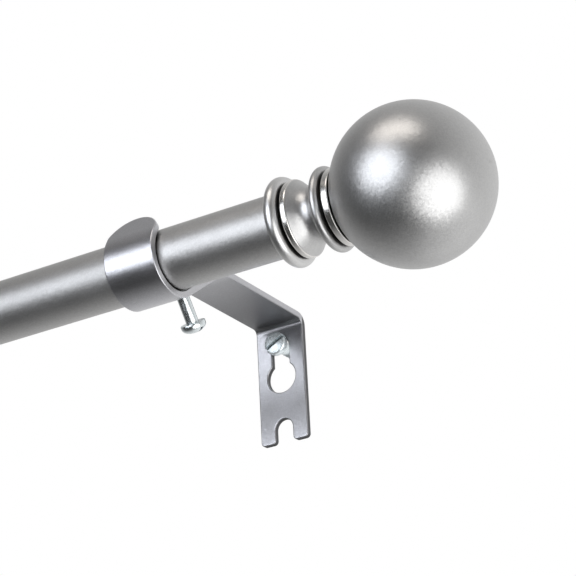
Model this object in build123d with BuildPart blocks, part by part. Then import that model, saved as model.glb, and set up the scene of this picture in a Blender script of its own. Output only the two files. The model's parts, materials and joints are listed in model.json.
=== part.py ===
# Curtain rod with two wall brackets and ball finials.
# X runs along the rod to the finial in the picture, Y runs into the wall, Z is up.
# The origin is the back face of the right wall plate, between keyhole and fork.

import math
import os
from build123d import *

os.makedirs("parts", exist_ok=True)

# Rod
rod_diameter = 16.8
tube_wall = 0.9
inner_diameter = 14.0
inner_wall = 0.9
closed_length = 457.0
rod_overhang = 41.7
stub_length = 76.0
outer_length = closed_length - stub_length
inner_length = 381.0
tube_edge = 0.3

# Shared fits between pieces that move and pieces that are pressed together
moving_clearance = 0.3
press_clearance = 0.05

# Bracket strip
strip_width = 15.5
strip_thickness = 1.9
strip_edge = 0.35
projection = 65.25
rod_height = 21.1
hook_gap = 0.55
rod_drop = 0.25
arm_above_rod = 3.7
hook_exit_angle = 35.0
hook_tip_angle = 150.0
tip_rise = 7.0
tip_shoulder = 1.4
tip_corner = 1.0
slant_bend_radius = 13.0
wall_bend_radius = 1.65
plate_bottom = 10.8
plate_corner = 1.2

# Keyhole and fork in the wall plate
keyhole_radius = 4.65
keyhole_height = 8.8
slot_width = 5.8
slot_top_height = 20.9
fork_top_height = -3.85

# Set screw under the hook
set_shank_radius = 1.7
set_head_radius = 3.45
set_head_height = 2.8
set_head_round = 1.8
set_side = 1.5
set_offset = 6.8
set_head_depth = 18.8

# Wall screw
wall_shank_radius = 1.9
wall_shank_length = 12.0
wall_head_radius = 3.4
wall_head_height = 2.1
wall_head_round = 0.6
wall_side = -0.5
wall_point = 2.8
wall_point_cut = 1.3

# Finial, measured outwards from the tube end
stud_radius = 3.0
stud_engaged = 12.0
plug_length = 16.0
bead_width = 3.5
bead_radius = 11.9
groove_width = 0.75
groove_depth = 2.2
band_width = 1.8
band_radius = 10.25
band_edge = 0.5
neck_radius = 10.0
neck_length = 9.3
waist_radius = 7.25
waist_offset = 4.3
cove_fall = 47.0
collar_rise = 65.0
collar_width = 2.4
collar_radius = 11.2
seat_radius = 10.2
seat_gap = 0.85
seat_edge = 0.35
seat_floor = 0.5
rim_depth = 0.9
rim_gap = 0.15
ball_radius = 20.8
ball_offset = 36.85
ball_wall = 1.2
boss_radius = 6.0
boss_length = 9.0
stud_chamfer = 0.5

# Values that follow from the sizes above
rod_radius = rod_diameter / 2
inner_radius = inner_diameter / 2
hook_inner = rod_radius + hook_gap
hook_middle = hook_inner + strip_thickness / 2
hook_y = -projection
hook_z = rod_height + rod_drop
arm_z = rod_height + arm_above_rod + strip_thickness / 2
plate_y = -strip_thickness / 2
exit_sin = math.sin(math.radians(hook_exit_angle))
exit_cos = math.cos(math.radians(hook_exit_angle))
right_bracket_x = 0.0
right_end_x = right_bracket_x + rod_overhang
left_end_x = right_end_x - closed_length
left_bracket_x = left_end_x + rod_overhang
mouth_x = right_end_x - outer_length
bend_middle = wall_bend_radius + strip_thickness / 2


def save(block, name):
    block.part.label = name
    export_step(block.part, "parts/" + name + ".step")


def slope_point(along, out):
    # A point measured along the slanted part of the strip and out from the hook centre.
    y = hook_y + along * exit_cos + out * exit_sin
    z = hook_z + along * exit_sin - out * exit_cos
    return y, z


def make_bracket(x, name):
    # Where the slanted part meets the level arm
    slant_length = (arm_z - hook_z + hook_middle * exit_cos) / exit_sin
    meet_y, meet_z = slope_point(slant_length, hook_middle)
    bend_reach = slant_bend_radius * math.tan(math.radians(hook_exit_angle) / 2)
    heel_y, heel_z = slope_point(0, hook_middle)
    hook_sweep = hook_exit_angle + 270 - hook_tip_angle
    with BuildPart() as bracket:
        with BuildSketch(Plane.YZ.offset(x)):
            with BuildLine():
                wall = Line((plate_y, -plate_bottom), (plate_y, arm_z - bend_middle))
                corner = JernArc(wall @ 1, wall % 1, bend_middle, 90)
                arm = Line(corner @ 1, (meet_y + bend_reach, arm_z))
                bend = JernArc(arm @ 1, arm % 1, slant_bend_radius, hook_exit_angle)
                slant = Line(bend @ 1, (heel_y, heel_z))
                hook = JernArc(slant @ 1, slant % 1, hook_middle, -hook_sweep)
                Line(hook @ 1, (hook @ 1) + (hook % 1) * tip_rise)
            trace(line_width=strip_thickness)
        extrude(amount=strip_width / 2, both=True)
        # Arched end of the hook
        tip_rad = math.radians(hook_tip_angle)
        tip_y = hook_y + hook_middle * math.cos(tip_rad)
        tip_z = hook_z + hook_middle * math.sin(tip_rad)
        arch_rise = tip_rise - tip_shoulder
        arch_radius = ((strip_width / 2) ** 2 + arch_rise**2) / (2 * arch_rise)
        outward = (0, math.cos(tip_rad), math.sin(tip_rad))
        tip_plane = Plane(origin=(x, tip_y, tip_z), x_dir=(1, 0, 0), z_dir=outward)
        tip_up = 1 if tip_plane.y_dir.Z > 0 else -1
        with BuildSketch(tip_plane):
            with Locations((0, tip_up * (tip_shoulder + tip_rise))):
                Rectangle(strip_width * 2, tip_rise * 2)
            with Locations((0, tip_up * (tip_rise - arch_radius))):
                Circle(arch_radius, mode=Mode.SUBTRACT)
        extrude(amount=strip_thickness, both=True, mode=Mode.SUBTRACT)
        across = bracket.edges().filter_by(Axis(origin=(0, 0, 0), direction=outward))
        fillet(across.group_by(Axis.Z)[-1], radius=tip_corner)
        # Keyhole and open fork
        with BuildSketch(Plane.XZ):
            with Locations((x, keyhole_height)):
                Circle(keyhole_radius)
            slot_run = slot_top_height - slot_width / 2 - keyhole_height
            with Locations((x, keyhole_height + slot_run / 2)):
                Rectangle(slot_width, slot_run)
            with Locations((x, keyhole_height + slot_run)):
                Circle(slot_width / 2)
            fork_middle = fork_top_height - slot_width / 2
            fork_run = fork_middle + plate_bottom
            with Locations((x, fork_middle)):
                Circle(slot_width / 2)
            with Locations((x, fork_middle - fork_run)):
                Rectangle(slot_width, fork_run * 2)
        extrude(amount=strip_thickness * 2, both=True, mode=Mode.SUBTRACT)
        foot = bracket.edges().filter_by(Axis.Y).group_by(Axis.Z)[0]
        fillet(foot, radius=plate_corner)
        # Every edge that the press left is rounded.
        rims = bracket.edges().filter_by(Axis.X, reverse=True)
        rims = rims.filter_by(lambda e: abs(e.length - strip_thickness) > 0.01)
        soles = bracket.edges().filter_by(Axis.X).group_by(Axis.Z)[0]
        fillet(rims + soles, radius=strip_edge)
        # Threaded hole for the set screw
        hole_y, hole_z = slope_point(set_offset, hook_middle)
        hole_plane = Plane(origin=(x + set_side, hole_y, hole_z), z_dir=(0, exit_sin, -exit_cos))
        with BuildSketch(hole_plane):
            Circle(set_shank_radius + moving_clearance)
        extrude(amount=strip_thickness, both=True, mode=Mode.SUBTRACT)
    save(bracket, name)


def make_set_screw(x, held_radius, name):
    # The tip stops just short of the tube that it clamps.
    tip_reach = set_offset - set_shank_radius + rod_drop * exit_sin
    tip_depth = math.sqrt((held_radius + moving_clearance) ** 2 - tip_reach**2)
    tip_depth = tip_depth + rod_drop * exit_cos
    tip_y, tip_z = slope_point(set_offset, tip_depth)
    head_y, head_z = slope_point(set_offset, set_head_depth)
    out = (0, exit_sin, -exit_cos)
    with BuildPart() as screw:
        with BuildSketch(Plane(origin=(x, tip_y, tip_z), z_dir=out)):
            Circle(set_shank_radius)
        extrude(amount=set_head_depth - tip_depth)
        with BuildSketch(Plane(origin=(x, head_y, head_z), z_dir=out)):
            Circle(set_head_radius)
        extrude(amount=set_head_height)
        rim = screw.faces().sort_by(Axis(origin=(x, head_y, head_z), direction=out))[-1]
        fillet(rim.edges(), radius=set_head_round)
    save(screw, name)


def make_wall_screw(x, name):
    screw_z = slot_top_height - wall_shank_radius - moving_clearance
    seat_y = -strip_thickness - moving_clearance
    with BuildPart() as screw:
        with BuildSketch(Plane(origin=(x, seat_y, screw_z), z_dir=(0, -1, 0))):
            Circle(wall_head_radius)
        extrude(amount=wall_head_height)
        rim = screw.faces().sort_by(Axis.Y)[0]
        fillet(rim.edges(), radius=wall_head_round)
        with BuildSketch(Plane(origin=(x, seat_y, screw_z), z_dir=(0, 1, 0))):
            Circle(wall_shank_radius)
        extrude(amount=wall_shank_length)
        end = screw.faces().sort_by(Axis.Y)[-1]
        chamfer(end.edges(), length=wall_point, length2=wall_point_cut)
    save(screw, name)


def make_tube(x, length, radius, wall, name):
    with BuildPart() as tube:
        with BuildSketch(Plane.YZ.offset(x)):
            with Locations((hook_y, rod_height)):
                Circle(radius)
                Circle(radius - wall, mode=Mode.SUBTRACT)
        extrude(amount=length)
        ends = tube.edges().filter_by(GeomType.CIRCLE)
        fillet(ends, radius=tube_edge)
    save(tube, name)


def make_finial(side, end_x, tube_inside, tag):
    plane = Plane(origin=(end_x, hook_y, rod_height), x_dir=(side, 0, 0), z_dir=(0, -1, 0))
    axis = Axis(origin=(end_x, hook_y, rod_height), direction=(1, 0, 0))
    plug_bore = stud_radius + moving_clearance
    stud_bore = stud_radius + press_clearance
    band_start = bead_width + groove_width
    neck_start = band_start + band_width
    neck_end = neck_start + neck_length
    seat_start = neck_end + seat_gap
    flat_start = seat_start + seat_floor
    bead_half = bead_width / 2
    inside = ball_radius - ball_wall
    boss_start = ball_offset - math.sqrt(inside**2 - boss_radius**2) - ball_wall / 2
    boss_end = boss_start + boss_length

    with BuildPart() as plug:
        with BuildSketch(plane):
            with BuildLine():
                spigot = tube_inside - press_clearance
                face = band_start - moving_clearance
                Polyline((0, spigot), (-plug_length, spigot), (-plug_length, plug_bore))
                Polyline((-plug_length, plug_bore), (face, plug_bore), (face, band_radius - groove_depth))
                Line((face, band_radius - groove_depth), (bead_width, band_radius - groove_depth))
                Line((bead_width, band_radius - groove_depth), (bead_width, bead_radius - bead_half))
                ThreePointArc(
                    (bead_width, bead_radius - bead_half),
                    (bead_half, bead_radius),
                    (0, bead_radius - bead_half),
                )
                Line((0, bead_radius - bead_half), (0, spigot))
            make_face()
        revolve(axis=axis)
    save(plug, tag + "_end_plug")

    with BuildPart() as band:
        with BuildSketch(plane):
            with Locations((band_start + band_width / 2, (band_radius + stud_bore) / 2)):
                Rectangle(band_width, band_radius - stud_bore)
        revolve(axis=axis)
        rims = band.edges().filter_by(GeomType.CIRCLE)
        fillet(rims.filter_by(lambda e: abs(e.radius - band_radius) < 0.01), radius=band_edge)
    save(band, tag + "_base_band")

    with BuildPart() as neck:
        with BuildSketch(plane):
            with BuildLine():
                collar_start = neck_end - collar_width
                collar_base = collar_radius - collar_width / 2
                fall = (math.cos(math.radians(cove_fall)), -math.sin(math.radians(cove_fall)))
                rise = (math.cos(math.radians(collar_rise)), math.sin(math.radians(collar_rise)))
                Line((neck_start, stud_bore), (neck_start, neck_radius))
                Spline(
                    (neck_start, neck_radius),
                    (neck_start + waist_offset, waist_radius),
                    (collar_start, collar_base),
                    tangents=(fall, (1, 0), rise),
                )
                ThreePointArc(
                    (collar_start, collar_base),
                    (neck_end - collar_width / 2, collar_radius),
                    (neck_end, collar_base),
                )
                Line((neck_end, collar_base), (neck_end, seat_radius - groove_depth))
                Line((neck_end, seat_radius - groove_depth), (seat_start, seat_radius - groove_depth))
                Line((seat_start, seat_radius - groove_depth), (seat_start, stud_bore))
                Line((seat_start, stud_bore), (neck_start, stud_bore))
            make_face()
        revolve(axis=axis)
    save(neck, tag + "_neck")

    with BuildPart() as seat:
        with BuildSketch(plane):
            seat_long = ball_offset - seat_start
            with Locations((seat_start + seat_long / 2, (seat_radius + stud_bore) / 2)):
                Rectangle(seat_long, seat_radius - stud_bore)
            with Locations((ball_offset, 0)):
                Circle(ball_radius + press_clearance, mode=Mode.SUBTRACT)
            # The outer rim stops short of the ball and leaves a dark line.
            rim_inside = seat_radius - rim_depth
            rim_end = ball_offset - math.sqrt(ball_radius**2 - rim_inside**2) - rim_gap
            with Locations((rim_end + seat_long / 2, rim_inside + rim_depth)):
                Rectangle(seat_long, rim_depth * 2, mode=Mode.SUBTRACT)
            floor = seat_floor - press_clearance
            with Locations((seat_start + floor / 2, (seat_radius + stud_bore) / 2)):
                Rectangle(floor, seat_radius - stud_bore)
        revolve(axis=axis)
        lips = seat.edges().filter_by(GeomType.CIRCLE)
        lips = lips.filter_by(lambda e: abs(e.radius - seat_radius) < 0.01)
        fillet(lips, radius=seat_edge)
    save(seat, tag + "_ball_seat")

    with BuildPart() as ball:
        with BuildSketch(plane):
            with Locations((ball_offset, 0)):
                Circle(ball_radius)
                Circle(inside, mode=Mode.SUBTRACT)
            with Locations((boss_start + boss_length / 2, boss_radius / 2)):
                Rectangle(boss_length, boss_radius)
            with Locations((ball_offset, -ball_radius)):
                Rectangle(ball_radius * 3, ball_radius * 2, mode=Mode.SUBTRACT)
            with Locations((flat_start - ball_radius, ball_radius)):
                Rectangle(ball_radius * 2, ball_radius * 2, mode=Mode.SUBTRACT)
            with Locations((boss_end - ball_radius, stud_bore / 2)):
                Rectangle(ball_radius * 2, stud_bore, mode=Mode.SUBTRACT)
        revolve(axis=axis)
    save(ball, tag + "_ball")

    with BuildPart() as stud:
        stud_x = end_x - side * stud_engaged
        with BuildSketch(Plane(origin=(stud_x, hook_y, rod_height), z_dir=(side, 0, 0))):
            Circle(stud_radius)
        extrude(amount=stud_engaged + boss_end - press_clearance)
        chamfer(stud.edges().filter_by(GeomType.CIRCLE), length=stud_chamfer)
    save(stud, tag + "_stud")


# Two alike brackets with their screws
for bracket_x, held, tag in ((right_bracket_x, rod_radius, "right"), (left_bracket_x, inner_radius, "left")):
    make_bracket(bracket_x, tag + "_bracket")
    make_set_screw(bracket_x + set_side, held, tag + "_set_screw")
    make_wall_screw(bracket_x + wall_side, tag + "_wall_screw")

# Telescoping tubes
make_tube(mouth_x, outer_length, rod_radius, tube_wall, "outer_tube")
make_tube(left_end_x, inner_length, inner_radius, inner_wall, "inner_tube")

# Finials on both tube ends
make_finial(1, right_end_x, rod_radius - tube_wall, "right")
make_finial(-1, left_end_x, inner_radius - inner_wall, "left")
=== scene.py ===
import json
import math

import bmesh
import bpy
from mathutils import Matrix, Vector


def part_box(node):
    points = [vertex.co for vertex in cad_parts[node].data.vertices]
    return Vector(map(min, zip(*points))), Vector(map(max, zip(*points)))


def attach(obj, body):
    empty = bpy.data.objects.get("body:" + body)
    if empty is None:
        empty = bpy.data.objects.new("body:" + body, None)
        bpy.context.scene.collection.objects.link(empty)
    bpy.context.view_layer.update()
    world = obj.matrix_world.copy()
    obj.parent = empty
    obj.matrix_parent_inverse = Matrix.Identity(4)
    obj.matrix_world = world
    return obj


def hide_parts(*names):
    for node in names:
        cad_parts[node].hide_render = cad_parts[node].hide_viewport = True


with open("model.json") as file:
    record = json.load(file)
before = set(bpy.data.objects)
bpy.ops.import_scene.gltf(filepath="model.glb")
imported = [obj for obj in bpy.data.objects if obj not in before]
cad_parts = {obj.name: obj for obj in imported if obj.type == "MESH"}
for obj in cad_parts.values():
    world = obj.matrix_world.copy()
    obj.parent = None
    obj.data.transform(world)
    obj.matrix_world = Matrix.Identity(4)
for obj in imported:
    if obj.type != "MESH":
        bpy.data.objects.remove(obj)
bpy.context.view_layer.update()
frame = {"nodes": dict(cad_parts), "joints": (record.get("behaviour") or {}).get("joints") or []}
nodes = frame["nodes"]
jointAxes = {joint["child"]: Vector(joint["axis"]).normalized() for joint in frame["joints"]}
sides = ("right", "left")
print("frame loaded:", len(nodes), "pieces of metal")


# a shader node: a socket of another node is linked to its input, a plain value is set there
def addNode(tree, kind, sockets=None, **fields):
    node = tree.nodes.new(kind)
    for field, value in fields.items():
        setattr(node, field, value)
    for socket, value in (sockets or {}).items():
        if isinstance(value, bpy.types.NodeSocket):
            tree.links.new(value, node.inputs[socket])
        else:
            node.inputs[socket].default_value = value
    return node


# an empty node group: its inputs with their usual values, and the kinds of what it puts out
def newGroup(name, inputs, outputs):
    tree = bpy.data.node_groups.new(name, "ShaderNodeTree")
    for socket, value in inputs.items():
        made = tree.interface.new_socket(socket, in_out="INPUT", socket_type="NodeSocketFloat")
        made.default_value = value
    for socket, kind in outputs.items():
        tree.interface.new_socket(socket, in_out="OUTPUT", socket_type=kind)
    return tree, addNode(tree, "NodeGroupInput").outputs


def closeGroup(tree, results):
    addNode(tree, "NodeGroupOutput", results)
    return tree


# a mix node has its sockets by number: 0 is the share, 2 and 3 are values, 6 and 7 are colours
def mixValue(tree, share, first, second):
    return addNode(tree, "ShaderNodeMix", {0: share, 2: first, 3: second}, data_type="FLOAT").outputs[0]


def mixColour(tree, share, first, second):
    return addNode(tree, "ShaderNodeMix", {0: share, 6: first, 7: second}, data_type="RGBA").outputs[2]


def opaque(colour):
    return (*colour, 1.0)


# tip a direction by a colour that varies round mid grey
def tipped(tree, normal, colour, amount):
    midGrey = (0.5, 0.5, 0.5)
    centred = addNode(tree, "ShaderNodeVectorMath", {0: colour, 1: midGrey}, operation="SUBTRACT")
    scaled = addNode(tree, "ShaderNodeVectorMath", {0: centred.outputs["Vector"], "Scale": amount},
                     operation="SCALE")
    added = addNode(tree, "ShaderNodeVectorMath", {0: normal, 1: scaled.outputs["Vector"]},
                    operation="ADD")
    return added.outputs["Vector"]


# metal flakes in the silver paint: tiny cells, each tipped its own way, over a sprayed orange peel
def flakeGroup():
    inputs = {"Flakes per metre": 3600.0, "Drift per metre": 60.0, "Tilt": 0.05,
              "Peel per metre": 1800.0, "Peel": 0.05}
    outputs = {"Sparkle": "NodeSocketFloat", "Drift": "NodeSocketFloat", "Normal": "NodeSocketVector"}
    tree, given = newGroup("paintFlakes", inputs, outputs)
    place = addNode(tree, "ShaderNodeTexCoord").outputs["Object"]
    surface = addNode(tree, "ShaderNodeNewGeometry")
    cells = addNode(tree, "ShaderNodeTexVoronoi", {"Vector": place, "Scale": given["Flakes per metre"]},
                    feature="F1")
    tone = addNode(tree, "ShaderNodeSeparateColor", {"Color": cells.outputs["Color"]})
    drift = addNode(tree, "ShaderNodeTexNoise", {"Vector": place, "Scale": given["Drift per metre"],
                                                 "Detail": 3.0, "Roughness": 0.55})
    peel = addNode(tree, "ShaderNodeTexNoise", {"Vector": place, "Scale": given["Peel per metre"],
                                                "Detail": 2.0, "Roughness": 0.6})
    flaked = tipped(tree, surface.outputs["Normal"], cells.outputs["Color"], given["Tilt"])
    peeled = tipped(tree, flaked, peel.outputs["Color"], given["Peel"])
    unit = addNode(tree, "ShaderNodeVectorMath", {0: peeled}, operation="NORMALIZE")
    return closeGroup(tree, {"Sparkle": tone.outputs["Red"], "Drift": drift.outputs["Fac"],
                             "Normal": unit.outputs["Vector"]})


# finger smudges and rubbing: a mask that moves the gloss up and down
def rubbedGroup():
    inputs = {"Marks per metre": 90.0, "Glossiest": 0.3, "Dullest": 0.4}
    tree, given = newGroup("rubbedGloss", inputs, {"Roughness": "NodeSocketFloat"})
    place = addNode(tree, "ShaderNodeTexCoord")
    marks = addNode(tree, "ShaderNodeTexNoise", {
        "Vector": place.outputs["Object"], "Scale": given["Marks per metre"],
        "Detail": 5.0, "Roughness": 0.62, "Distortion": 0.4})
    spread = addNode(tree, "ShaderNodeMapRange", {
        "Value": marks.outputs["Fac"], "From Min": 0.3, "From Max": 0.7,
        "To Min": given["Glossiest"], "To Max": given["Dullest"]})
    return closeGroup(tree, {"Roughness": spread.outputs["Result"]})


# painted shade: darkening in grooves, seams and the gap round the tube, wherever ambient occlusion
# finds the surface closed in
def seamShadeGroup():
    inputs = {"Reach": 0.0015, "Open": 0.62, "Shut": 0.25}
    tree, given = newGroup("seamShadeTree", inputs, {"ShadeAmount": "NodeSocketFloat"})
    shelter = addNode(tree, "ShaderNodeAmbientOcclusion", {"Distance": given["Reach"]}, samples=12)
    shadeShare = addNode(tree, "ShaderNodeMapRange", {
        "Value": shelter.outputs["AO"], "From Min": given["Open"], "From Max": given["Shut"]},
        interpolation_type="SMOOTHSTEP")
    return closeGroup(tree, {"ShadeAmount": shadeShare.outputs["Result"]})


# where a point of the strip lies in the bracket's own frame, and which way it faces in the room
def stripPlace(tree):
    place = addNode(tree, "ShaderNodeTexCoord")
    surface = addNode(tree, "ShaderNodeNewGeometry")
    lies = addNode(tree, "ShaderNodeSeparateXYZ", {"Vector": place.outputs["Object"]})
    faces = addNode(tree, "ShaderNodeSeparateXYZ", {"Vector": surface.outputs["Normal"]})
    return lies.outputs, faces.outputs


# painted shade: faces that look down are darkened, more so towards the wall
def undersideShadeGroup():
    inputs = {"Unshaded at": -0.058, "Shaded at": -0.01, "Most": 0.6}
    tree, given = newGroup("undersideShade", inputs, {"Shaded": "NodeSocketFloat"})
    lies, faces = stripPlace(tree)
    down = addNode(tree, "ShaderNodeMath", {0: faces["Z"], 1: -1.0},
                   operation="MULTIPLY", use_clamp=True)
    reach = addNode(tree, "ShaderNodeMapRange", {
        "Value": lies["Y"], "From Min": given["Unshaded at"], "From Max": given["Shaded at"],
        "To Max": given["Most"]}, interpolation_type="SMOOTHSTEP")
    # painted shade share: strongest on downward faces near the wall
    darkShade = addNode(tree, "ShaderNodeMath", {0: reach.outputs["Result"], 1: down.outputs["Value"]},
                   operation="MULTIPLY")
    return closeGroup(tree, {"Shaded": darkShade.outputs["Value"]})


# painted shade: the sheared sides of the strip and the walls of its keyhole and fork are darkened
def wallShadeGroup():
    inputs = {"Sheared": 0.1, "Plate from": -0.0016, "Cut": 0.85}
    tree, given = newGroup("wallShade", inputs, {"Shaded": "NodeSocketFloat"})
    lies, faces = stripPlace(tree)
    sideways = addNode(tree, "ShaderNodeMath", {0: faces["X"]}, operation="ABSOLUTE")
    sheared = addNode(tree, "ShaderNodeMapRange", {
        "Value": sideways.outputs["Value"], "From Min": 0.35, "From Max": 0.9,
        "To Max": given["Sheared"]}, interpolation_type="SMOOTHSTEP")
    through = addNode(tree, "ShaderNodeMath", {0: faces["Y"]}, operation="ABSOLUTE")
    wall = addNode(tree, "ShaderNodeMapRange", {
        "Value": through.outputs["Value"], "From Min": 0.6, "From Max": 0.2,
        "To Max": given["Cut"]}, interpolation_type="SMOOTHSTEP")
    inPlate = addNode(tree, "ShaderNodeMath", {0: lies["Y"], 1: given["Plate from"]},
                      operation="GREATER_THAN")
    cut = addNode(tree, "ShaderNodeMath", {0: wall.outputs["Result"], 1: inPlate.outputs["Value"]},
                  operation="MULTIPLY")
    either = addNode(tree, "ShaderNodeMath", {0: sheared.outputs["Result"], 1: cut.outputs["Value"]},
                     operation="MAXIMUM")
    return closeGroup(tree, {"Shaded": either.outputs["Value"]})


flakes = flakeGroup()
rubbed = rubbedGroup()
seamShadeTree = seamShadeGroup()
undersideShade = undersideShadeGroup()
wallShade = wallShadeGroup()

# finishes: colours are linear, flake and mark sizes are counts per metre
# each finish's seamShade colour is the dark painted shade put into its grooves, seams and gaps
silverPaint = {"name": "silverPaint", "deep": (0.485, 0.484, 0.482), "lit": (0.59, 0.588, 0.585),
               "flakes": 3400.0, "drift": 45.0, "marks": 70.0, "gloss": (0.35, 0.41),
               "driftShare": 0.45, "tilt": 0.06, "peel": 0.12, "seamShade": (0.03, 0.03, 0.028)}
beadPaint = {"name": "beadPaint", "deep": (0.60, 0.598, 0.594), "lit": (0.70, 0.698, 0.694),
             "flakes": 3400.0, "drift": 45.0, "marks": 70.0, "gloss": (0.32, 0.38),
             "driftShare": 0.45, "tilt": 0.04, "peel": 0.06, "seamShade": (0.03, 0.03, 0.028)}
tubePaint = {"name": "tubePaint", "deep": (0.47, 0.468, 0.464), "lit": (0.57, 0.567, 0.562),
             "flakes": 3400.0, "drift": 45.0, "marks": 60.0, "gloss": (0.41, 0.47),
             "driftShare": 0.45, "tilt": 0.05, "peel": 0.08, "seamShade": (0.03, 0.03, 0.028)}
# bracketPaint's darkShade is the near-black painted shade on its underside and cut walls
bracketPaint = {"name": "bracketPaint", "deep": (0.51, 0.511, 0.53), "lit": (0.645, 0.646, 0.675),
                "flakes": 4600.0, "drift": 60.0, "marks": 80.0, "gloss": (0.27, 0.32),
                "driftShare": 0.4, "tilt": 0.045, "peel": 0.05, "seamShade": (0.05, 0.05, 0.05),
                "darkShade": (0.06, 0.06, 0.062), "shadedGloss": 0.6}
brightNickel = {"name": "brightNickel", "deep": (0.72, 0.705, 0.68), "lit": (0.82, 0.805, 0.785),
                "flakes": 1500.0, "drift": 120.0, "marks": 160.0, "gloss": (0.20, 0.28),
                "driftShare": 0.8, "tilt": 0.0, "peel": 0.0, "seamShade": (0.03, 0.03, 0.028)}
zincPlate = {"name": "zincPlate", "deep": (0.72, 0.79, 0.81), "lit": (0.87, 0.91, 0.92),
             "flakes": 1800.0, "drift": 420.0, "marks": 300.0, "gloss": (0.20, 0.30),
             "driftShare": 0.8, "tilt": 0.03, "peel": 0.02, "seamShade": (0.05, 0.055, 0.055)}
hazyZinc = {"name": "hazyZinc", "deep": (0.74, 0.82, 0.85), "lit": (0.88, 0.94, 0.96),
            "flakes": 1800.0, "drift": 420.0, "marks": 300.0, "gloss": (0.24, 0.32),
            "driftShare": 0.8, "tilt": 0.03, "peel": 0.03, "seamShade": (0.05, 0.055, 0.055),
            "metal": 0.72}


def metalFinish(finish):
    material = bpy.data.materials.new(finish["name"])
    material.use_nodes = True
    tree = material.node_tree
    flake = addNode(tree, "ShaderNodeGroup", {
        "Flakes per metre": finish["flakes"], "Drift per metre": finish["drift"],
        "Tilt": finish["tilt"], "Peel": finish["peel"]}, node_tree=flakes).outputs
    gloss = addNode(tree, "ShaderNodeGroup", {
        "Marks per metre": finish["marks"], "Glossiest": finish["gloss"][0],
        "Dullest": finish["gloss"][1]}, node_tree=rubbed)
    seamShade = addNode(tree, "ShaderNodeGroup", node_tree=seamShadeTree)
    depth = mixValue(tree, finish["driftShare"], flake["Sparkle"], flake["Drift"])
    colour = mixColour(tree, depth, opaque(finish["deep"]), opaque(finish["lit"]))
    # painted shade: the colour goes dark in grooves, seams and gaps
    colour = mixColour(tree, seamShade.outputs["ShadeAmount"], colour, opaque(finish["seamShade"]))
    dull = gloss.outputs["Roughness"]
    if "darkShade" in finish:  # only the pressed strip takes painted shade, on its cut walls and underside
        for group in (undersideShade, wallShade):
            spot = addNode(tree, "ShaderNodeGroup", node_tree=group).outputs["Shaded"]
            colour = mixColour(tree, spot, colour, opaque(finish["darkShade"]))
            dull = mixValue(tree, spot, dull, finish["shadedGloss"])
    shader = tree.nodes["Principled BSDF"].inputs
    shader["Metallic"].default_value = finish.get("metal", 1.0)
    tree.links.new(colour, shader["Base Color"])
    tree.links.new(dull, shader["Roughness"])
    tree.links.new(flake["Normal"], shader["Normal"])
    return material


finishes = {finish["name"]: metalFinish(finish)
            for finish in (silverPaint, beadPaint, tubePaint, bracketPaint, brightNickel,
                           zincPlate, hazyZinc)}
print("finishes made:", ", ".join(finishes))


def dress(obj, finishName):
    obj.data.materials.clear()
    obj.data.materials.append(finishes[finishName])


# brackets, tubes and turned pieces of the frame keep their CAD form and take a finish
wears = {"bracket": "bracketPaint", "end_plug": "beadPaint", "base_band": "brightNickel",
         "neck": "silverPaint", "ball_seat": "brightNickel", "ball": "silverPaint"}
for side in sides:
    for piece, finishName in wears.items():
        dress(nodes[side + "_" + piece], finishName)
for tube in ("outer_tube", "inner_tube"):
    dress(nodes[tube], "tubePaint")
print("CAD pieces dressed")


# a stack of rings turned round Z, each a radius and a height; the ridge adds a thread to them
def turnedMesh(name, stations, segments, ridge):
    mesh = bpy.data.meshes.new(name)
    work = bmesh.new()
    rings = []
    for radius, height in stations:
        ring = []
        for step in range(segments):
            angle = 2 * math.pi * step / segments
            grown = radius + ridge(height, angle)
            ring.append(work.verts.new((grown * math.cos(angle), grown * math.sin(angle), height)))
        rings.append(ring)
    for lower, upper in zip(rings, rings[1:]):
        for step in range(segments):
            after = (step + 1) % segments
            work.faces.new((lower[step], lower[after], upper[after], upper[step]))
    work.faces.new(list(reversed(rings[0])))
    work.faces.new(rings[-1])
    bmesh.ops.recalc_face_normals(work, faces=work.faces)
    work.to_mesh(mesh)
    work.free()
    return mesh


# how a thread is cut into a shank: a depth below its radius, at each height and angle
def threadRidge(start, end, pitch, depth, flat):
    def ridge(height, angle):
        if height <= start or height >= end:
            return 0.0
        phase = (height / pitch - angle / (2 * math.pi)) % 1.0
        slope = min(1.0, abs(2 * phase - 1) / (1 - flat))
        fade = min(1.0, (height - start) / pitch, (end - height) / pitch)
        return -depth * slope * fade
    return ridge


def evenRings(radius, start, end, step):
    count = max(2, math.ceil((end - start) / step))
    return [(radius, start + (end - start) * k / count) for k in range(count + 1)]


# how the plain CAD fastener is read: what counts as its tip end, its shank and its head
fastenerRead = {"tipSlack": 1e-6, "shankShare": 0.6, "headOver": 1.15}


# a fastener of the frame: where its tip is, its axis out of the work, and its sizes
def fastenerForm(node, body):
    axis = jointAxes[body]
    points = [nodes[node].matrix_world @ vertex.co for vertex in nodes[node].data.vertices]
    heights = [point.dot(axis) for point in points]
    start, length = min(heights), max(heights) - min(heights)
    heights = [height - start for height in heights]
    end = [point for point, height in zip(points, heights) if height < fastenerRead["tipSlack"]]
    tip = sum(end, Vector()) / len(end)
    radii = [((point - tip) - axis * height).length for point, height in zip(points, heights)]
    shankEnd = length * fastenerRead["shankShare"]
    shankR = max(radius for radius, height in zip(radii, heights) if height < shankEnd)
    wide = shankR * fastenerRead["headOver"]
    head = [height for radius, height in zip(radii, heights) if radius > wide]
    return {"tip": tip, "axis": axis, "length": length, "shankR": shankR,
            "headR": max(radii), "headAt": min(head) if head else length}


def newPiece(name, data):
    obj = bpy.data.objects.new(name, data)
    bpy.context.collection.objects.link(obj)
    return obj


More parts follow.
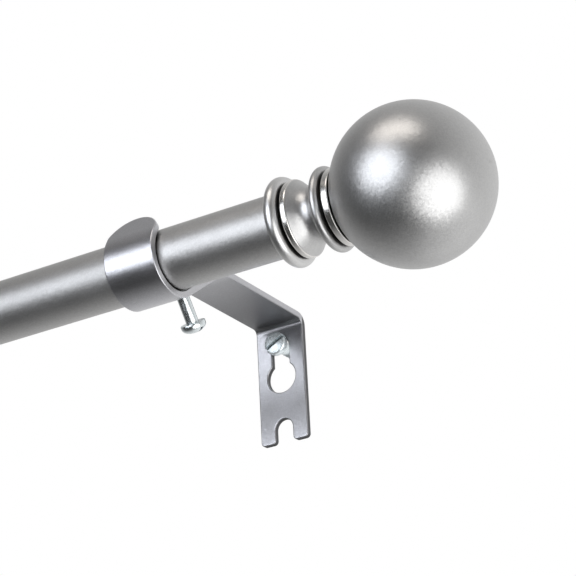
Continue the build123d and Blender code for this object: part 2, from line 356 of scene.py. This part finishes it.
# cut the driver recess out of a head with plain bars
def cutRecess(obj, bars):
    for number, (size, place) in enumerate(bars):
        mesh = bpy.data.meshes.new(obj.name + ".bar")
        work = bmesh.new()
        bmesh.ops.create_cube(work, size=1.0)
        bmesh.ops.scale(work, vec=size, verts=work.verts)
        bmesh.ops.translate(work, vec=place, verts=work.verts)
        work.to_mesh(mesh)
        work.free()
        bar = newPiece(obj.name + ".bar", mesh)
        cut = obj.modifiers.new("recess" + str(number), "BOOLEAN")
        cut.operation = "DIFFERENCE"
        cut.solver = "EXACT"
        cut.object = bar
        bpy.context.view_layer.update()
        carved = obj.evaluated_get(bpy.context.evaluated_depsgraph_get())
        cutMesh = bpy.data.meshes.new_from_object(carved)
        obj.modifiers.remove(cut)
        obj.data = cutMesh
        bpy.data.objects.remove(bar)


# a finished fastener goes to its place, turned about its axis, and stands for its plain CAD node
def seatFastener(piece, form, turnDeg, finishName, body, node, sharpDeg=35.0):
    piece.data.shade_smooth()
    piece.data.set_sharp_from_angle(angle=math.radians(sharpDeg))
    piece.data.materials.append(finishes[finishName])
    along = form["axis"].to_track_quat("Z", "Y").to_matrix().to_4x4()
    turn = Matrix.Rotation(math.radians(turnDeg), 4, "Z")
    piece.matrix_world = Matrix.Translation(form["tip"]) @ along @ turn
    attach(piece, body)
    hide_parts(node)


# machine screw under each hook: fine rolled thread, domed head, slot with a short cross;
# shares, rises and reaches count in shanks, heads and rims, the dome's steps are angles in radians
setScrew = {"pitch": 0.0005, "depth": 0.00016, "flat": 0.25, "ringsPerTurn": 8, "segments": 48,
            "lead": 0.0003, "leadShare": 0.8, "plain": 0.0078, "neck": 0.00005,
            "seatShare": 0.97, "seatRise": 0.06, "skirt": 0.3,
            "dome": (0.2, 0.4, 0.6, 0.8, 1.0, 1.2, 1.36),
            "slot": 0.0009, "recess": 0.0013, "slotReach": 2.2, "crossReach": 1.2, "proud": 0.0001,
            "turnDeg": 20.0}


def makeSetScrew(side):
    node = side + "_set_screw"
    form = fastenerForm(node, node)
    head, rim, shank = form["headAt"], form["headR"], form["shankR"]
    lead, threadEnd = setScrew["lead"], head - setScrew["plain"]
    top, skirt = form["length"] - head, setScrew["skirt"]
    stations = [(shank * setScrew["leadShare"], 0.0)]
    stations += evenRings(shank, lead, threadEnd, setScrew["pitch"] / setScrew["ringsPerTurn"])
    stations += [(shank, head - setScrew["neck"]), (rim * setScrew["seatShare"], head)]
    stations += [(rim, head + top * setScrew["seatRise"]), (rim, head + top * skirt)]
    stations += [(rim * math.cos(a), head + top * (skirt + (1 - skirt) * math.sin(a)))
                 for a in setScrew["dome"]]
    ridge = threadRidge(lead, threadEnd, setScrew["pitch"], setScrew["depth"], setScrew["flat"])
    screw = newPiece(side + "SetScrew", turnedMesh(node, stations, setScrew["segments"], ridge))
    slot, recess = setScrew["slot"], setScrew["recess"]
    deep = (0, 0, form["length"] - recess / 2 + setScrew["proud"])
    cutRecess(screw, [((rim * setScrew["slotReach"], slot, recess), deep),
                      ((slot, rim * setScrew["crossReach"], recess), deep)])
    seatFastener(screw, form, setScrew["turnDeg"], "zincPlate", node, node)


# wood screw in the keyhole: coarse thread, pointed end, slotted head with its edge rounded in radians
wallScrew = {"pitch": 0.0014, "depth": 0.0006, "flat": 0.12, "ringsPerTurn": 12, "segments": 48,
             "threadFrom": 0.0004, "plain": 0.0035, "neck": 0.0002,
             "point": 0.0045, "pointRings": 28, "pointCurve": 0.7, "blunt": 0.3,
             "seatShare": 0.98, "seatRise": 0.05, "skirt": 0.7, "rounding": (0.3, 0.6, 0.9, 1.2, 1.5),
             "slot": 0.0012, "recess": 0.0016, "slotReach": 2.3, "proud": 0.0001, "slotDeg": 27.0}


def makeWallScrew(side):
    node = side + "_wall_screw"
    form = fastenerForm(node, node)
    head, rim, shank = form["headAt"], form["headR"], form["shankR"]
    point, blunt, threadEnd = wallScrew["point"], wallScrew["blunt"], head - wallScrew["plain"]
    top, skirt = form["length"] - head, wallScrew["skirt"]
    soft, steps = top * (1 - skirt), wallScrew["pointRings"]
    curve = wallScrew["pointCurve"]
    stations = [(shank * (blunt + (1 - blunt) * (k / steps) ** curve), point * k / steps)
                for k in range(steps)]
    stations += evenRings(shank, point, threadEnd, wallScrew["pitch"] / wallScrew["ringsPerTurn"])
    stations += [(shank, head - wallScrew["neck"]), (rim * wallScrew["seatShare"], head)]
    stations += [(rim, head + top * wallScrew["seatRise"]), (rim, head + top * skirt)]
    stations += [(rim - soft * (1 - math.cos(a)), head + top - soft * (1 - math.sin(a)))
                 for a in wallScrew["rounding"]]
    ridge = threadRidge(wallScrew["threadFrom"], threadEnd, wallScrew["pitch"], wallScrew["depth"],
                        wallScrew["flat"])
    screw = newPiece(side + "WallScrew", turnedMesh(node, stations, wallScrew["segments"], ridge))
    slot, recess = wallScrew["slot"], wallScrew["recess"]
    deep = (0, 0, form["length"] - recess / 2 + wallScrew["proud"])
    cutRecess(screw, [((rim * wallScrew["slotReach"], slot, recess), deep)])
    seatFastener(screw, form, wallScrew["slotDeg"], "hazyZinc", node, node)


# threaded stud that holds each finial in its plug
stud = {"pitch": 0.001, "depth": 0.00045, "flat": 0.25, "ringsPerTurn": 8, "segments": 40,
        "lead": 0.0005}


def makeStud(side):
    node = side + "_stud"
    form = fastenerForm(node, side + "_finial")
    length, lead, radius = form["length"], stud["lead"], form["headR"]
    stations = [(radius - lead, 0.0)]
    stations += evenRings(radius, lead, length - lead, stud["pitch"] / stud["ringsPerTurn"])
    stations += [(radius - lead, length)]
    ridge = threadRidge(lead, length - lead, stud["pitch"], stud["depth"], stud["flat"])
    rod = newPiece(side + "Stud", turnedMesh(node, stations, stud["segments"], ridge))
    seatFastener(rod, form, 0.0, "zincPlate", side + "_finial", node)


for side in sides:
    makeSetScrew(side)
    makeWallScrew(side)
    makeStud(side)
print("fasteners turned")

# lamps: angles in degrees seen from the right ball, shine is the lamp's own brightness
lamps = {
    "frontLamp": {"azimuth": -15.6, "elevation": 4.0, "distance": 1.6, "spread": (58.0, 52.0),
                  "shine": 2.6, "colour": (0.95, 0.985, 1.05)},
    "lowLamp": {"azimuth": 68.0, "elevation": -34.0, "distance": 1.6, "spread": (66.0, 66.0),
                "shine": 2.1, "colour": (1.0, 1.0, 1.0)},
    "topLamp": {"azimuth": 3.3, "elevation": 54.6, "distance": 1.6, "spread": (50.0, 30.0),
                "shine": 2.0, "colour": (1.06, 1.0, 0.94)},
    "backLamp": {"azimuth": 145.0, "elevation": -46.0, "distance": 1.6, "spread": (84.0, 66.0),
                 "shine": 0.18, "colour": (1.0, 1.0, 1.0)},
}
ballLow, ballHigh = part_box("right_ball")
ballPlace = (Vector(ballLow) + Vector(ballHigh)) / 2


def outward(azimuthDeg, elevationDeg):
    azimuth, elevation = math.radians(azimuthDeg), math.radians(elevationDeg)
    level = math.cos(elevation)
    return Vector((math.sin(azimuth) * level, -math.cos(azimuth) * level, math.sin(elevation)))


for name, lamp in lamps.items():
    data = bpy.data.lights.new(name, "AREA")
    data.shape = "ELLIPSE"
    wide, tall = [math.tan(math.radians(angle / 2)) for angle in lamp["spread"]]
    data.size, data.size_y = 2 * wide * lamp["distance"], 2 * tall * lamp["distance"]
    data.energy = lamp["shine"] * math.pi * (math.pi / 4) * data.size * data.size_y
    data.color = lamp["colour"]
    obj = newPiece(name, data)
    away = outward(lamp["azimuth"], lamp["elevation"])
    obj.location = ballPlace + away * lamp["distance"]
    obj.rotation_mode = "QUATERNION"
    obj.rotation_quaternion = away.to_track_quat("Z", "Y")
    obj.visible_camera = False
print("lamps hung:", len(lamps))

# pale floor well below the rod; the camera sees it paler than it lights the rod
floorSet = {"height": -1.8, "size": 240.0, "colour": (0.86, 0.86, 0.86), "rough": 0.9, "glow": 0.62}
white = (1.0, 1.0, 1.0, 1.0)
half = floorSet["size"] / 2
floorMesh = bpy.data.meshes.new("floor")
corners = [(-half, -half, 0), (half, -half, 0), (half, half, 0), (-half, half, 0)]
floorMesh.from_pydata(corners, [], [(0, 1, 2, 3)])
floor = newPiece("floor", floorMesh)
floor.location = (0, 0, floorSet["height"])
floorPaint = bpy.data.materials.new("floorPaint")
floorPaint.use_nodes = True
tree = floorPaint.node_tree
matt = tree.nodes["Principled BSDF"]
matt.inputs["Base Color"].default_value = opaque(floorSet["colour"])
matt.inputs["Roughness"].default_value = floorSet["rough"]
matt.inputs["Specular IOR Level"].default_value = 0.0
looked = addNode(tree, "ShaderNodeLightPath")
share = addNode(tree, "ShaderNodeMath", {0: looked.outputs["Is Camera Ray"], 1: floorSet["glow"]},
                operation="MULTIPLY")
glow = addNode(tree, "ShaderNodeEmission", {"Color": white, "Strength": 1.0})
paled = addNode(tree, "ShaderNodeMixShader", {"Fac": share.outputs["Value"], 1: matt.outputs["BSDF"],
                                              2: glow.outputs["Emission"]})
tree.links.new(paled.outputs["Shader"], tree.nodes["Material Output"].inputs["Surface"])
floorMesh.materials.append(floorPaint)
floor.visible_glossy = False  # the metal mirrors the room alone

# room: white to the camera, and as pale as the floor low down;
# the metal mirrors it dim towards the front left
room = {"palest": 0.785, "paleBelow": 0.10, "whiteAbove": 0.20, "brightWay": (0.25, 0.955, 0.16),
        "dimEdge": -0.53, "dimmest": 0.055, "brightest": 0.92, "fill": 0.55}
world = bpy.data.worlds.new("room")
world.use_nodes = True
bpy.context.scene.world = world
tree = world.node_tree
tree.nodes.clear()
path = addNode(tree, "ShaderNodeLightPath").outputs
way = addNode(tree, "ShaderNodeTexCoord").outputs["Generated"]
along = addNode(tree, "ShaderNodeVectorMath", {0: way, 1: room["brightWay"]}, operation="DOT_PRODUCT")
shade = addNode(tree, "ShaderNodeMapRange", {
    "Value": along.outputs["Value"], "From Min": room["dimEdge"], "From Max": 1.0,
    "To Min": room["dimmest"], "To Max": room["brightest"]})
height = addNode(tree, "ShaderNodeSeparateXYZ", {"Vector": way})
rise = addNode(tree, "ShaderNodeMapRange", {
    "Value": height.outputs["Z"], "From Min": room["paleBelow"], "From Max": room["whiteAbove"],
    "To Min": room["palest"], "To Max": 1.0})
seen = addNode(tree, "ShaderNodeBackground", {"Color": white, "Strength": rise.outputs["Result"]})
mirrored = addNode(tree, "ShaderNodeBackground", {"Color": white, "Strength": shade.outputs["Result"]})
fill = addNode(tree, "ShaderNodeBackground", {"Color": white, "Strength": room["fill"]})
glossMix = addNode(tree, "ShaderNodeMixShader", {
    "Fac": path["Is Glossy Ray"], 1: fill.outputs["Background"], 2: mirrored.outputs["Background"]})
clearMix = addNode(tree, "ShaderNodeMixShader", {
    "Fac": path["Is Transmission Ray"], 1: glossMix.outputs["Shader"], 2: seen.outputs["Background"]})
cameraMix = addNode(tree, "ShaderNodeMixShader", {
    "Fac": path["Is Camera Ray"], 1: clearMix.outputs["Shader"], 2: seen.outputs["Background"]})
addNode(tree, "ShaderNodeOutputWorld", {"Surface": cameraMix.outputs["Shader"]})
print("floor and room made")

# camera: right of the rod and below it, as the picture looks up at the bracket
cameraSet = {"place": (0.2726, -0.45485, -0.1933), "lookAt": (0.0292, -0.0447, 0.0139),
             "rollDeg": -3.03, "lensMm": 123.5, "sensorMm": 36.0, "nearest": 0.01}
lens = bpy.data.cameras.new("camera")
lens.lens = cameraSet["lensMm"]
lens.sensor_width = cameraSet["sensorMm"]
lens.clip_start = cameraSet["nearest"]
camera = newPiece("camera", lens)
camera.location = cameraSet["place"]
camera.rotation_mode = "QUATERNION"
toward = Vector(cameraSet["lookAt"]) - camera.location
roll = Matrix.Rotation(math.radians(cameraSet["rollDeg"]), 4, "Z").to_quaternion()
camera.rotation_quaternion = toward.to_track_quat("-Z", "Y") @ roll
bpy.context.scene.camera = camera
bpy.context.scene.view_settings.view_transform = "Standard"

bpy.context.view_layer.update()
